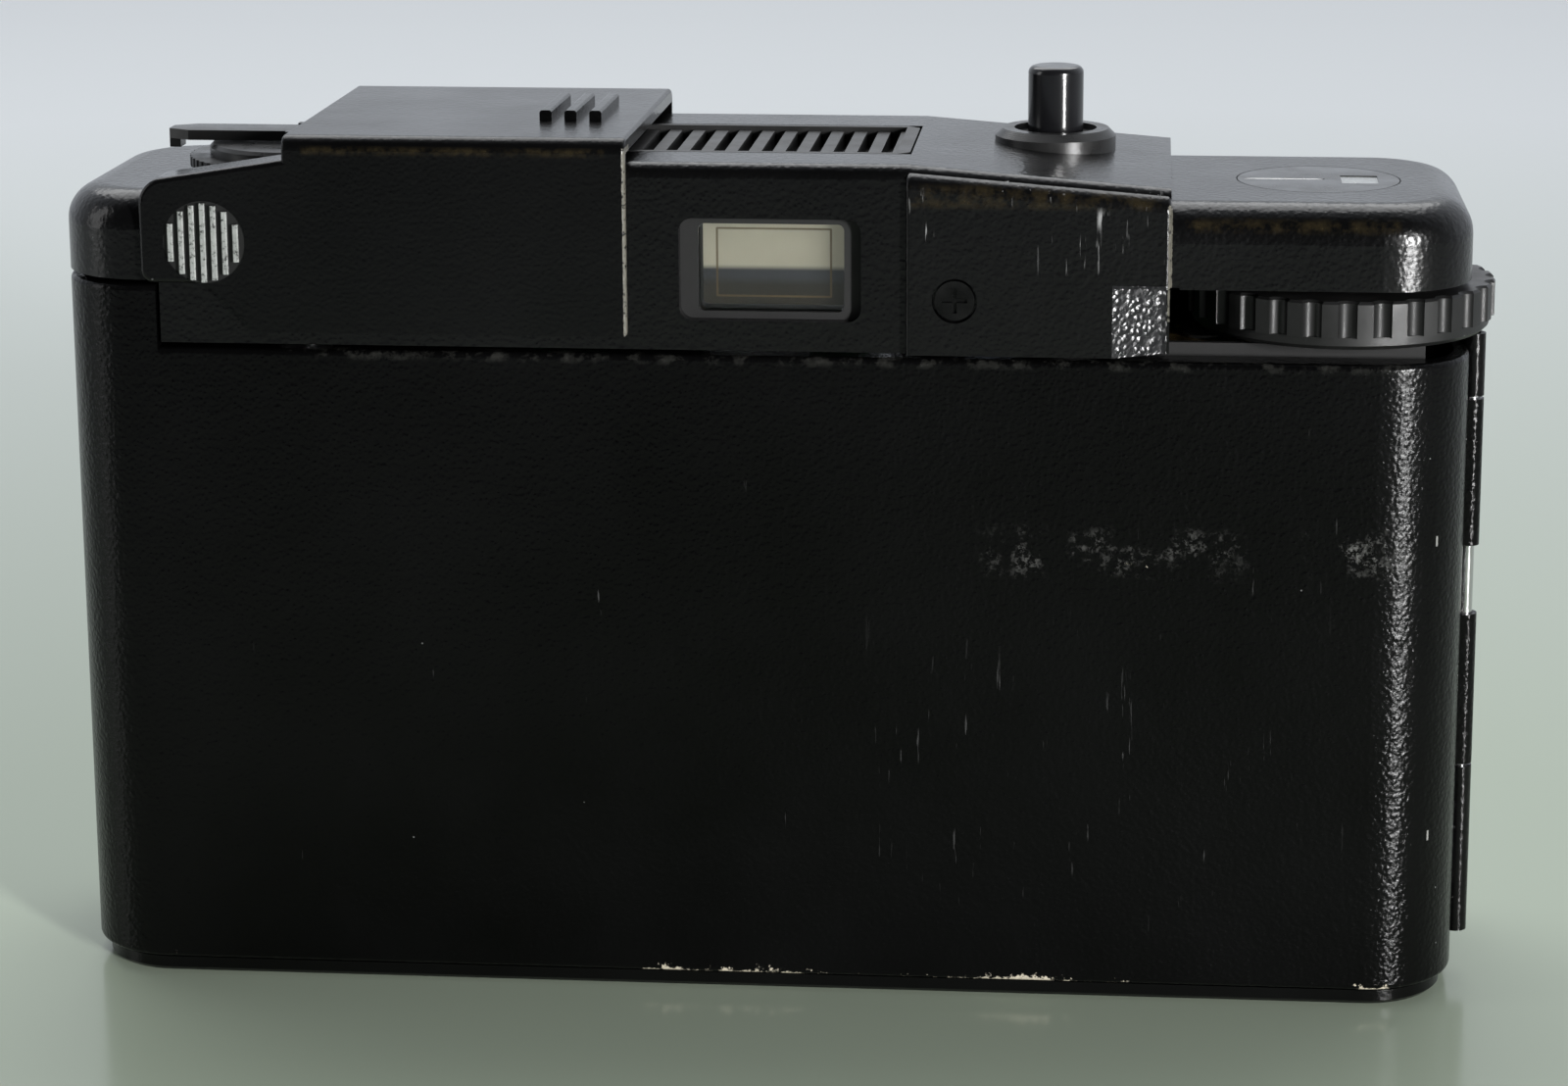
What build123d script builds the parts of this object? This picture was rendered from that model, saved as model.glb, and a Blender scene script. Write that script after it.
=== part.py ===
"""Four-lens stereo camera for 35 mm film, modelled as an assembly of separate pieces.

Frame: +Z up, the back door faces -Y and the lenses look along +Y.
Origin: middle of the body's footprint, on the underside of the base plate.
"""
import os
from math import atan2, cos, degrees, hypot, radians, sin, sqrt

from build123d import *

os.makedirs("parts", exist_ok=True)

# ---- Body shell (mm) ----
body_w = 137.0
body_d = 34.0
corner_r = 9.0
wall = 1.5
back_y = -body_d / 2
front_y = body_d / 2
side_x = body_w / 2
split_y = -5.0
seam = 0.3
base_t = 1.5
shell_z0 = base_t
shell_z1 = 64.9

# ---- Door and its hinge ----
door_z0 = 1.8
door_z1 = 64.35
door_t = 1.5
ear_x = -58.0
ear_z = 70.5
rim_depth = 3.5
rim_t = 1.2
door_edge_r = 0.6
hinge_x = 69.2
hinge_y = split_y
pin_r = 0.7
knuckle_r = 1.15
body_knuckles = ((4.2, 21.4), (59.1, 65.3))
door_knuckles = ((21.7, 37.1), (44.1, 58.8))

# ---- Top cover ----
cover_t = 1.3
deck_z = 79.4
deck_edge_r = 3.6
hump_z = 82.9
hump_x0 = -33.6
block_x0 = 14.64
block_x1 = 39.6
block_low_z = 80.9
block_proud = 1.0
hump_edge_r = 1.4
wheel_slot_z = 71.4
wheel_slot_x = 40.0
wheel_slot_y = 8.5

# ---- Sliding finder cover ----
slider_x0 = -45.0
slider_x1 = -12.0
slider_top_z = 85.3
slider_roof_t = 1.4
slider_low_z = 66.3
slider_clear = 0.25
slider_t = 0.85
wing_y = -13.6
wing_z = 79.7
grip_x = -52.75
grip_z = 74.96
grip_r = 4.0
rib_pitch = 1.06

# ---- Finder ----
finder_x = 1.65
finder_z = 72.75
recess_w = 17.4
recess_h = 9.9
eyepiece_w = 14.0
eyepiece_h = 8.5
window_w = 18.0
window_h = 11.0

# ---- Slatted inset on the hump ----
grille_x0 = -28.0
grille_x1 = 14.45
grille_d = 18.0
grille_y = -0.5
slat_pitch = 2.34
slat_w = 1.25

# ---- Lenses, shutter and film plane ----
lens_pitch = 18.5
lens_z = 35.0
lens_count = 4
barrel_r = 6.4
barrel_bore = 4.6
film_y = -12.5
gate_w = 17.4
gate_h = 22.0
tunnel_front_y = 11.4
panel_w = 86.0
panel_h = 34.0
panel_t = 5.5
shutter_travel = 8.0

# ---- Film transport ----
wheel_x = 56.3
wheel_y = -2.6
wheel_r = 14.9
wheel_teeth = 28
wheel_z0 = 65.8
wheel_z1 = 70.5
gear_module = 0.5
drive_teeth = 20
idler_teeth = 16
sprocket_y = -5.3
sprocket_r = 5.8
spool_r = 6.2
spool_chamber_r = 8.6
shaft_r = 2.5
running = 0.05
gear_z0 = 63.1
gear_z1 = 64.7
counter_x = 54.0
counter_y = -0.3
pinion_teeth = 8
ring_teeth = 21
cap_r = 7.9

# ---- Rewind side ----
rewind_x = -47.5
rewind_y = 0.5
cassette_r = 13.2
disc_r = 10.8
knob_r = 8.8
crank_pivot_x = -47.0
crank_z = 82.8
crank_tip_x = -60.4

# ---- Shutter release ----
button_x = 28.1
button_y = 5.0
button_r = 2.75
button_z = 89.7
collar_r = 6.0
collar_z = 83.5
spring_seat_z = 72.0

# ---- Chassis plates ----
chassis_z0 = 3.2
chassis_z1 = 62.5
chassis_x0 = -65.2
chassis_x1 = 65.8
plate_t = 1.5

# ---- Underside ----
tripod_y = 8.0
tripod_r = 2.85
battery_x = 18.5
battery_y = 3.0
cell_r = 5.8
cell_h = 5.4
cell_count = 3
battery_cover_r = 7.5
release_r = 2.6
base_screws = ((-60.0, -9.0), (-60.0, 11.0), (60.0, 11.0), (-24.0, 11.0))

lens_xs = [(i - (lens_count - 1) / 2) * lens_pitch for i in range(lens_count)]

# Axes of the film transport: the wheel drives the sprocket through one idler.
gear_span = gear_module * (drive_teeth + idler_teeth) / 2
sprocket_span = 1.5 * gear_span
sprocket_x = wheel_x - sqrt(sprocket_span**2 - (wheel_y - sprocket_y) ** 2)
mid_x = (wheel_x + sprocket_x) / 2
mid_y = (wheel_y + sprocket_y) / 2
idler_rise = sqrt(gear_span**2 - (sprocket_span / 2) ** 2)
idler_x = mid_x - idler_rise * (wheel_y - sprocket_y) / sprocket_span
idler_y = mid_y + idler_rise * (wheel_x - sprocket_x) / sprocket_span


def save(builder, name):
    """Label a finished piece and write its STEP file."""
    builder.part.label = name
    export_step(builder.part, f"parts/{name}.step")


def heading(x0, y0, x1, y1):
    """Angle in degrees of the direction from one axis to another."""
    return degrees(atan2(y1 - y0, x1 - x0))


def plan(inset, z0, z1):
    """Prism on the camera's rounded plan outline, drawn in by an inset."""
    with BuildPart() as prism:
        with BuildSketch(Plane.XY.offset(z0)):
            RectangleRounded(body_w - 2 * inset, body_d - 2 * inset, corner_r - inset)
        extrude(amount=z1 - z0)
    return prism.part


def block(x0, x1, y0, y1, z0, z1):
    """Plain box between two corners."""
    with BuildPart() as box:
        with Locations(((x0 + x1) / 2, (y0 + y1) / 2, (z0 + z1) / 2)):
            Box(x1 - x0, y1 - y0, z1 - z0)
    return box.part


def post(x, y, radius, z0, z1):
    """Upright cylinder."""
    with BuildPart() as cylinder:
        with BuildSketch(Plane.XY.offset(z0)):
            with Locations((x, y)):
                Circle(radius)
        extrude(amount=z1 - z0)
    return cylinder.part


def rod(x, z, radius, y0, y1):
    """Cylinder that runs along Y."""
    with BuildPart() as cylinder:
        with BuildSketch(Plane(origin=(x, y0, z), x_dir=(1, 0, 0), z_dir=(0, 1, 0))):
            Circle(radius)
        extrude(amount=y1 - y0)
    return cylinder.part


def window_block(x, z, width, height, radius, y0, y1):
    """Rounded rectangular block that runs along Y, for windows and their openings."""
    with BuildPart() as pane:
        with BuildSketch(Plane(origin=(x, y0, z), x_dir=(1, 0, 0), z_dir=(0, 1, 0))):
            RectangleRounded(width, height, radius)
        extrude(amount=y1 - y0)
    return pane.part


def gear(x, y, teeth, module, phase, bore, z0, z1, outward=True):
    """Spur gear; phase is the angle of one tooth's centre. Inward teeth make a ring gear."""
    pitch_r = module * teeth / 2
    side = 1 if outward else -1
    root_r = pitch_r - side * 1.1 * module
    tip_r = pitch_r + side * 0.8 * module
    half_root = 0.17 * 360 / teeth
    half_tip = 0.07 * 360 / teeth
    with BuildPart() as wheel:
        with BuildSketch(Plane.XY.offset(z0)):
            with Locations((x, y)):
                if outward:
                    Circle(root_r)
                else:
                    Circle(root_r + 1.3)
                    Circle(root_r, mode=Mode.SUBTRACT)
        extrude(amount=z1 - z0)
        with BuildSketch(Plane.XY.offset(z0)):
            for k in range(teeth):
                with BuildLine():
                    angle = phase + 360 * k / teeth
                    corners = (
                        (root_r - side * 0.15, angle - half_root),
                        (tip_r, angle - half_tip),
                        (tip_r, angle + half_tip),
                        (root_r - side * 0.15, angle + half_root),
                    )
                    points = [(x + r * cos(radians(a)), y + r * sin(radians(a))) for r, a in corners]
                    Polyline(*points, close=True)
                make_face()
        extrude(amount=z1 - z0)
        if bore:
            add(post(x, y, bore, z0, z1), mode=Mode.SUBTRACT)
    return wheel.part


def mesh_phase(phase, r_from, line, teeth_to, r_to):
    """Tooth angle of the next gear, so that its gaps face the teeth of the last one."""
    lead = phase - line
    return line + 180 - lead * r_from / r_to + 180 / teeth_to


def cover_body(inset, rounded):
    """Solid inside the top cover's outline, drawn in by an inset: a deck with the hump on it."""
    fall = (hump_z - block_low_z) / (block_x1 - block_x0)
    with BuildPart() as body:
        with BuildSketch(Plane.XZ.offset(front_y - inset)):
            with BuildLine():
                Polyline(
                    (hump_x0 + inset, shell_z1),
                    (hump_x0 + inset, hump_z - inset),
                    (block_x0, hump_z - inset),
                    (block_x1 - inset, block_low_z - inset + fall * inset),
                    (block_x1 - inset, shell_z1),
                    close=True,
                )
            make_face()
        extrude(amount=2 * inset - body_d)
        if rounded:
            roof_lines = body.edges().filter_by(GeomType.LINE).filter_by_position(Axis.Z, 80, 83)
            long_edges = [e for e in roof_lines if abs(e.tangent_at(0.5).X) > 0.9]
            fillet(long_edges, hump_edge_r)
        add(deck(inset))
    return body.part


def deck(inset):
    """Low part of the top cover, with its whole upper rim rounded over."""
    with BuildPart() as low:
        add(plan(inset, shell_z1, deck_z - inset))
        fillet(low.faces().sort_by(Axis.Z)[-1].edges(), deck_edge_r - inset)
    return low.part


def proud_block():
    """Thick panel on the back wall beside the finder, with its outer rim rounded."""
    with BuildPart() as panel:
        with BuildSketch(Plane.XZ.offset(-back_y - 1.2)):
            with BuildLine():
                Polyline(
                    (block_x0, shell_z1),
                    (block_x1, shell_z1),
                    (block_x1, block_low_z - 0.6),
                    (block_x0, hump_z - 0.6),
                    close=True,
                )
            make_face()
        extrude(amount=1.2 + block_proud)
        outer = panel.faces().sort_by(Axis.Y)[0].edges()
        fillet(outer.sort_by(Axis.Z)[-1], 1.5)
        fillet(panel.faces().sort_by(Axis.Y)[0].edges().filter_by(Axis.Z), 0.4)
    return panel.part


def wing():
    """Low left part of the sliding cover: a plate with a deep top edge."""
    with BuildPart() as low:
        with BuildSketch(Plane.XZ.offset(inner_y)):
            with BuildLine():
                Polyline((slider_x0 + 1, slider_low_z), (-47.9, slider_low_z), (-52.5, 70.9), (-57.9, 70.9))
                RadiusArc((-57.9, 70.9), (-59.1, 72.1), 1.2)
                Line((-59.1, 72.1), (-59.1, 78.4))
                RadiusArc((-59.1, 78.4), (-56.6, 81.15), 2.7)
                Polyline((-56.6, 81.15), (slider_x0 + 1, 83.15), (slider_x0 + 1, slider_low_z))
            make_face()
        extrude(amount=slider_t)
        with BuildSketch(Plane.XZ.offset(-wing_y)):
            with BuildLine():
                Line((slider_x0 + 1, wing_z), (-58.7, wing_z))
                RadiusArc((-58.7, wing_z), (-56.6, 81.15), 2.4)
                Polyline((-56.6, 81.15), (slider_x0 + 1, 83.15), (slider_x0 + 1, wing_z))
            make_face()
        extrude(amount=inner_y + wing_y)
        rim = low.faces().sort_by(Axis.Y)[0].edges()
        fillet([e for e in rim if e.center().X < slider_x0 and e.center().Z > 71], 0.5)
    return low.part


def rounded_plan(z0, z1, edge_r):
    """Prism on the full plan outline with both rims rounded."""
    with BuildPart() as prism:
        add(plan(0, z0, z1))
        fillet(prism.faces().sort_by(Axis.Z)[-1].edges(), edge_r)
        fillet(prism.faces().sort_by(Axis.Z)[0].edges(), edge_r)
    return prism.part


def front_glass(x):
    """Front lens glass, domed outwards."""
    dome_r = 10.0
    with BuildPart() as glass:
        add(rod(x, lens_z, barrel_bore, 17.9, 19.9))
        with Locations((x, 19.9 - dome_r, lens_z)):
            Sphere(dome_r, mode=Mode.INTERSECT)
    return glass.part


def chassis_plate(z0, z1):
    """Level plate with round ends over the cassette and the take-up spool."""
    with BuildPart() as plate:
        add(block(chassis_x0, chassis_x1, film_y, 11.0, z0, z1))
        add(post(rewind_x, rewind_y, cassette_r + 1.0, z0, z1))
        add(post(wheel_x, wheel_y, spool_chamber_r + 0.8, z0, z1))
        add(block(chassis_x0 - 1, chassis_x1 + 3, back_y, film_y, z0, z1), mode=Mode.SUBTRACT)
        add(plan(wall + 0.9, z0, z1), mode=Mode.INTERSECT)
    return plate.part


def barrel(x):
    """Lens barrel with its bore, its rear stop and a softened front rim."""
    with BuildPart() as tube:
        add(rod(x, lens_z, barrel_r, 13.4, front_y + panel_t - 1.4))
        add(rod(x, lens_z, barrel_bore, 15.8, front_y + panel_t), mode=Mode.SUBTRACT)
        add(rod(x, lens_z, 2.6, 13.0, 16.0), mode=Mode.SUBTRACT)
        chamfer(tube.faces().sort_by(Axis.Y)[-1].edges().filter_by(GeomType.CIRCLE)[-1], 0.5)
    return tube.part


def tapered(x, y0, width, height, y1, side):
    """Block on a lens axis that narrows from the film plane to a square at the lens."""
    with BuildPart() as body:
        with BuildSketch(Plane(origin=(x, y0, lens_z), x_dir=(1, 0, 0), z_dir=(0, 1, 0))):
            Rectangle(width, height)
        with BuildSketch(Plane(origin=(x, y1, lens_z), x_dir=(1, 0, 0), z_dir=(0, 1, 0))):
            Rectangle(side, side)
        loft()
    return body.part


def gate_hole(x):
    """Tapered opening from a film gate to the back of its lens."""
    return tapered(x, film_y - 1, gate_w, gate_h, tunnel_front_y + 1, 10.0)


def door_rim(z0, z1):
    """Narrow shelf along the inside of the door's back wall."""
    with BuildPart() as rim:
        add(plan(door_t - 0.2, z0, z1))
        add(block(-side_x, side_x, back_y + rim_depth, front_y + 1, z0 - 1, z1 + 1), mode=Mode.SUBTRACT)
    return rim.part


# ---------------------------------------------------------------- shells

with BuildPart() as front_cover:
    add(plan(0, shell_z0, shell_z1))
    fillet(front_cover.faces().sort_by(Axis.Z)[0].edges(), 0.5)
    add(plan(wall, shell_z0, shell_z1), mode=Mode.SUBTRACT)
    add(block(-side_x - 1, side_x + 1, back_y - 1, split_y + 0.1, 0, 80), mode=Mode.SUBTRACT)
    # Knuckles of the door hinge, each on a short web.
    for z0, z1 in body_knuckles:
        add(post(hinge_x, hinge_y, knuckle_r, z0, z1))
        add(block(side_x - 0.9, hinge_x, split_y, split_y + knuckle_r, z0, min(z1, shell_z1)))
    for z0, z1 in door_knuckles:
        relief = post(hinge_x, hinge_y, knuckle_r + seam, z0 - seam, z1 + seam)
        add(relief, mode=Mode.SUBTRACT)
    add(post(hinge_x, hinge_y, pin_r, 0, 70), mode=Mode.SUBTRACT)
    # Clear holes for the four lens barrels.
    for x in lens_xs:
        add(rod(x, lens_z, barrel_r + 0.6, front_y - 3, front_y + 1), mode=Mode.SUBTRACT)
    # Slot for the thumb pad of the door latch, in the left end wall.
    add(block(-side_x - 1, -side_x + 3, 0.7, 5.3, 30.7, 40.3), mode=Mode.SUBTRACT)
save(front_cover, "front_cover")

with BuildPart() as top_cover:
    add(cover_body(0, True))
    add(cover_body(cover_t, False), mode=Mode.SUBTRACT)
    # The block by the shutter release stands proud of the finder's back wall.
    add(proud_block())
    add(block(31.0, block_x1, back_y, back_y + 4.0, shell_z1, 73.0))
    # Channel beside the hump that takes the wing of the sliding cover when it is shut.
    add(block(hump_x0, -15.8, back_y, wing_y + 1.6, deck_z - cover_t, hump_z - hump_edge_r))
    add(block(hump_x0 - 1, -17.2, back_y - 1, wing_y + 0.3, deck_z, hump_z + 1), mode=Mode.SUBTRACT)
    # Thumb rest facet that falls away to the right.
    with BuildSketch(Plane.XY.offset(shell_z1)):
        with BuildLine():
            Polyline(
                (34.2, back_y - block_proud),
                (38.9, back_y - block_proud + 2.4),
                (40.5, back_y - block_proud + 2.4),
                (40.5, back_y - 3),
                (34.2, back_y - 3),
                close=True,
            )
        make_face()
    extrude(amount=71.6 - shell_z1, mode=Mode.SUBTRACT)
    # Opening for the thumbwheel, round the back right corner.
    slot = block(wheel_slot_x, side_x + 3, back_y - 3, wheel_slot_y, shell_z1 - 1, wheel_slot_z)
    add(slot, mode=Mode.SUBTRACT)
    # Room for the ear of the door at the left end.
    notch = block(-side_x - 1, ear_x + 0.4, back_y - 1, split_y + 0.1, shell_z1 - 1, ear_z + 0.5)
    add(notch, mode=Mode.SUBTRACT)
    # Finder openings, light sensor opening and the window for the slatted inset.
    rear_opening = window_block(finder_x, finder_z, recess_w, recess_h, 1.3, back_y - 1, back_y + 3)
    add(rear_opening, mode=Mode.SUBTRACT)
    front_opening = window_block(finder_x, finder_z, window_w, window_h, 1.2, front_y - 3, front_y + 1)
    add(front_opening, mode=Mode.SUBTRACT)
    add(window_block(24.0, finder_z, 9.0, 9.0, 1.0, front_y - 3, front_y + 1), mode=Mode.SUBTRACT)
    grille_hole = block(
        grille_x0 - 0.2, grille_x1 + 0.2, grille_y - grille_d / 2 - 0.2, grille_y + grille_d / 2 + 0.2,
        hump_z - 2, hump_z + 1
    )
    add(grille_hole, mode=Mode.SUBTRACT)
    # Bores for the release collar, the counter cap and the rewind shaft.
    add(post(button_x, button_y, collar_r, 78, 86), mode=Mode.SUBTRACT)
    add(post(counter_x, counter_y, cap_r + 0.12, 77, 81), mode=Mode.SUBTRACT)
    add(post(rewind_x, rewind_y, shaft_r + running, 77, 81), mode=Mode.SUBTRACT)
    # Counterbored hole for the rear screw.
    add(rod(19.3, 70.2, 2.15, back_y - 2, back_y - 0.1), mode=Mode.SUBTRACT)
    add(rod(19.3, 70.2, 1.05, back_y - 2, back_y + 3), mode=Mode.SUBTRACT)
    # Groove in the front wall that holds the sliding cover's lip.
    groove = block(slider_x0 - 0.4, block_x0 + 0.2, front_y - 0.75, front_y + 1, 66.0, 67.4)
    add(groove, mode=Mode.SUBTRACT)
save(top_cover, "top_cover")

with BuildPart() as base_plate:
    add(plan(1.0, 0, base_t))
    bottom_edges = base_plate.faces().sort_by(Axis.Z)[0].edges()
    chamfer(bottom_edges, 0.4)
    add(post(0, tripod_y, 6.0, -1, base_t + 1), mode=Mode.SUBTRACT)
    add(post(battery_x, battery_y, battery_cover_r + running, -1, base_t + 1), mode=Mode.SUBTRACT)
    add(post(sprocket_x, sprocket_y, release_r + running, -1, base_t + 1), mode=Mode.SUBTRACT)
    for x, y in base_screws:
        add(post(x, y, 2.1, -1, 1.0), mode=Mode.SUBTRACT)
        add(post(x, y, 1.05, -1, base_t + 1), mode=Mode.SUBTRACT)
save(base_plate, "base_plate")

# ---------------------------------------------------------------- chassis

inner_z0 = chassis_z0 + plate_t
inner_z1 = chassis_z1 - plate_t
plate_y = film_y + plate_t
cassette_mouth = block(
    rewind_x - cassette_r + 0.6, rewind_x + 9.0, film_y - 3, rewind_y, inner_z0, inner_z1
)
spool_mouth = block(sprocket_x - 6.0, wheel_x + 7.6, film_y - 1, wheel_y, inner_z0, inner_z1)
sprocket_pocket = post(sprocket_x, sprocket_y, 6.9, inner_z0, inner_z1)

with BuildPart() as chassis:
    # Upright plate that the film lies against, with a gate for each lens.
    add(block(chassis_x0, chassis_x1, film_y, plate_y, inner_z0, inner_z1))
    add(cassette_mouth, mode=Mode.SUBTRACT)
    add(spool_mouth, mode=Mode.SUBTRACT)
    add(sprocket_pocket, mode=Mode.SUBTRACT)
    add(post(rewind_x, rewind_y, cassette_r, inner_z0, inner_z1), mode=Mode.SUBTRACT)
    add(plan(wall + 0.9, 0, 80), mode=Mode.INTERSECT)
    for x in lens_xs:
        add(gate_hole(x), mode=Mode.SUBTRACT)
save(chassis, "chassis")

with BuildPart() as upper_plate:
    add(chassis_plate(inner_z1, chassis_z1))
    add(post(wheel_x, wheel_y, shaft_r + running, 40, 70), mode=Mode.SUBTRACT)
    add(post(sprocket_x, sprocket_y, 2.0 + running, 40, 70), mode=Mode.SUBTRACT)
    add(post(rewind_x, rewind_y, shaft_r + running, 40, 70), mode=Mode.SUBTRACT)
    add(post(idler_x, idler_y, 1.0, chassis_z1 - 1, gear_z1 + 0.2))
    # Light guard behind the gears, under the slot of the thumbwheel.
    add(block(34.0, 64.0, film_y + 0.1, film_y + 0.9, chassis_z1, gear_z1 + 0.7))
save(upper_plate, "upper_plate")

with BuildPart() as lower_plate:
    # Plate with its feet on the base plate, and the battery well.
    add(chassis_plate(chassis_z0, inner_z0))
    for x, y in base_screws:
        add(post(x, y, 2.8, base_t, chassis_z0 + 4.0))
        add(post(x, y, 1.05, base_t, chassis_z0 + 3.5), mode=Mode.SUBTRACT)
    add(block(chassis_x0, chassis_x1, back_y, plate_y, inner_z0, 10), mode=Mode.SUBTRACT)
    add(post(battery_x, battery_y, cell_r + 1.2, chassis_z0, 22.5))
    add(post(battery_x, battery_y, cell_r + 0.2, 0, 21.5), mode=Mode.SUBTRACT)
    add(post(0, tripod_y, 4.8, 0, inner_z0 + 1), mode=Mode.SUBTRACT)
    add(post(wheel_x, wheel_y, 1.5 + running, 0, inner_z0 + 1), mode=Mode.SUBTRACT)
    add(post(sprocket_x, sprocket_y, 1.2 + running, 0, inner_z0 + 1), mode=Mode.SUBTRACT)
save(lower_plate, "lower_plate")

with BuildPart() as cassette_well:
    # Curved wall between the plates, open towards the back door.
    add(post(rewind_x, rewind_y, cassette_r + 1.0, inner_z0, inner_z1))
    add(post(rewind_x, rewind_y, cassette_r, inner_z0, inner_z1), mode=Mode.SUBTRACT)
    add(cassette_mouth, mode=Mode.SUBTRACT)
    add(block(chassis_x0 - 1, chassis_x1, back_y, plate_y, 0, 80), mode=Mode.SUBTRACT)
    # The first light tunnel and its flange pass through this wall.
    first_tunnel = tapered(lens_xs[0], plate_y, gate_w + 1.0, gate_h + 1.6, tunnel_front_y, 12.0)
    add(first_tunnel, mode=Mode.SUBTRACT)
    add(block(-37.3, 0, plate_y, plate_y + 0.8, lens_z - 12.4, lens_z + 12.4), mode=Mode.SUBTRACT)
    for x, y in base_screws:
        add(post(x, y, 2.8, base_t, chassis_z0 + 4.0), mode=Mode.SUBTRACT)
save(cassette_well, "cassette_well")

with BuildPart() as spool_well:
    # Curved wall round the front of the take-up spool.
    add(post(wheel_x, wheel_y, spool_chamber_r + 0.8, inner_z0, inner_z1))
    add(post(wheel_x, wheel_y, spool_chamber_r, inner_z0, inner_z1), mode=Mode.SUBTRACT)
    add(spool_mouth, mode=Mode.SUBTRACT)
    add(sprocket_pocket, mode=Mode.SUBTRACT)
    add(block(chassis_x0, chassis_x1 + 3, back_y, plate_y, 0, 80), mode=Mode.SUBTRACT)
    add(plan(wall + 0.9, 0, 80), mode=Mode.INTERSECT)
    for x, y in base_screws:
        add(post(x, y, 2.8, base_t, chassis_z0 + 4.0), mode=Mode.SUBTRACT)
save(spool_well, "spool_well")

with BuildPart() as light_tunnels:
    # One tapered tunnel behind each lens, on a common flange.
    flange_x = lens_xs[-1] + gate_w / 2 + 0.8
    add(block(-flange_x, flange_x, plate_y, plate_y + 0.8, lens_z - 12.4, lens_z + 12.4))
    for x in lens_xs:
        add(tapered(x, plate_y, gate_w + 1.0, gate_h + 1.6, tunnel_front_y, 12.0))
    for x in lens_xs:
        add(gate_hole(x), mode=Mode.SUBTRACT)
save(light_tunnels, "light_tunnels")

with BuildPart() as film_rails:
    # Two pairs of polished rails beside the gates.
    for z in (lens_z - 17.6, lens_z - 13.0, lens_z + 13.0, lens_z + 17.6):
        add(block(-36.8, 36.4, film_y - 0.35, film_y, z - 0.6, z + 0.6))
    add(block(-36.8, -36.2, film_y - 0.35, film_y, lens_z - 17.6, lens_z + 17.6))
save(film_rails, "film_rails")

# ---------------------------------------------------------------- lens group

with BuildPart() as lens_panel:
    with BuildSketch(Plane(origin=(0, front_y, lens_z), x_dir=(1, 0, 0), z_dir=(0, 1, 0))):
        RectangleRounded(panel_w, panel_h, 8.0)
    extrude(amount=panel_t)
    fillet(lens_panel.faces().sort_by(Axis.Y)[-1].edges(), 1.6)
    for x in lens_xs:
        well = Plane(origin=(x, front_y + panel_t, lens_z), x_dir=(1, 0, 0), z_dir=(0, 1, 0))
        with BuildSketch(well):
            Circle(8.4)
        extrude(amount=-2.2, mode=Mode.SUBTRACT)
        add(rod(x, lens_z, barrel_r, front_y - 1, front_y + panel_t), mode=Mode.SUBTRACT)
save(lens_panel, "lens_panel")

with BuildPart() as lens_barrels:
    for x in lens_xs:
        add(barrel(x))
save(lens_barrels, "lens_barrels")

with BuildPart() as front_elements:
    for x in lens_xs:
        add(front_glass(x))
save(front_elements, "front_elements")

with BuildPart() as rear_elements:
    for x in lens_xs:
        add(rod(x, lens_z, 2.6, 13.7, 15.2))
save(rear_elements, "rear_elements")

with BuildPart() as lens_bezels:
    bezel_y = front_y + panel_t - 2.2
    for x in lens_xs:
        with BuildSketch(Plane(origin=(x, bezel_y, lens_z), x_dir=(1, 0, 0), z_dir=(0, 1, 0))):
            Circle(8.4)
            Circle(barrel_r, mode=Mode.SUBTRACT)
        extrude(amount=0.7)
save(lens_bezels, "lens_bezels")

with BuildPart() as shutter_plate:
    add(block(-38.0, 42.0, tunnel_front_y, tunnel_front_y + 0.8, lens_z - 9.0, lens_z + 9.0))
    for x in lens_xs:
        add(rod(x, lens_z, 3.2, tunnel_front_y - 1, tunnel_front_y + 2), mode=Mode.SUBTRACT)
save(shutter_plate, "shutter_plate")

with BuildPart() as shutter_blade:
    # One strip shuts all four lenses; its holes come into line at full travel.
    add(block(-31.3, 41.0, 12.45, 12.8, lens_z - 5.0, lens_z + 5.0))
    for x in lens_xs:
        add(rod(x + shutter_travel, lens_z, 3.2, 12.0, 13.5), mode=Mode.SUBTRACT)
    add(block(41.0, 43.2, 12.45, 12.8, lens_z - 1.0, lens_z + 1.0))
save(shutter_blade, "shutter_blade")

with BuildPart() as shutter_solenoid:
    add(block(43.4, 52.0, 11.6, 15.3, lens_z - 4.5, lens_z + 4.5))
    fillet(shutter_solenoid.edges().filter_by(Axis.X), 1.0)
save(shutter_solenoid, "shutter_solenoid")

# ---------------------------------------------------------------- film transport

wheel_line = heading(wheel_x, wheel_y, idler_x, idler_y)
far_line = heading(wheel_x, wheel_y, counter_x, counter_y) + 180
counter_span = hypot(wheel_x - counter_x, wheel_y - counter_y)
counter_module = 2 * counter_span / (ring_teeth - pinion_teeth)
idler_line = heading(idler_x, idler_y, sprocket_x, sprocket_y)
drive_r = gear_module * drive_teeth / 2
idler_r = gear_module * idler_teeth / 2
idler_phase = mesh_phase(wheel_line, drive_r, wheel_line, idler_teeth, idler_r)
sprocket_phase = mesh_phase(idler_phase, idler_r, idler_line, drive_teeth, drive_r)

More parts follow.
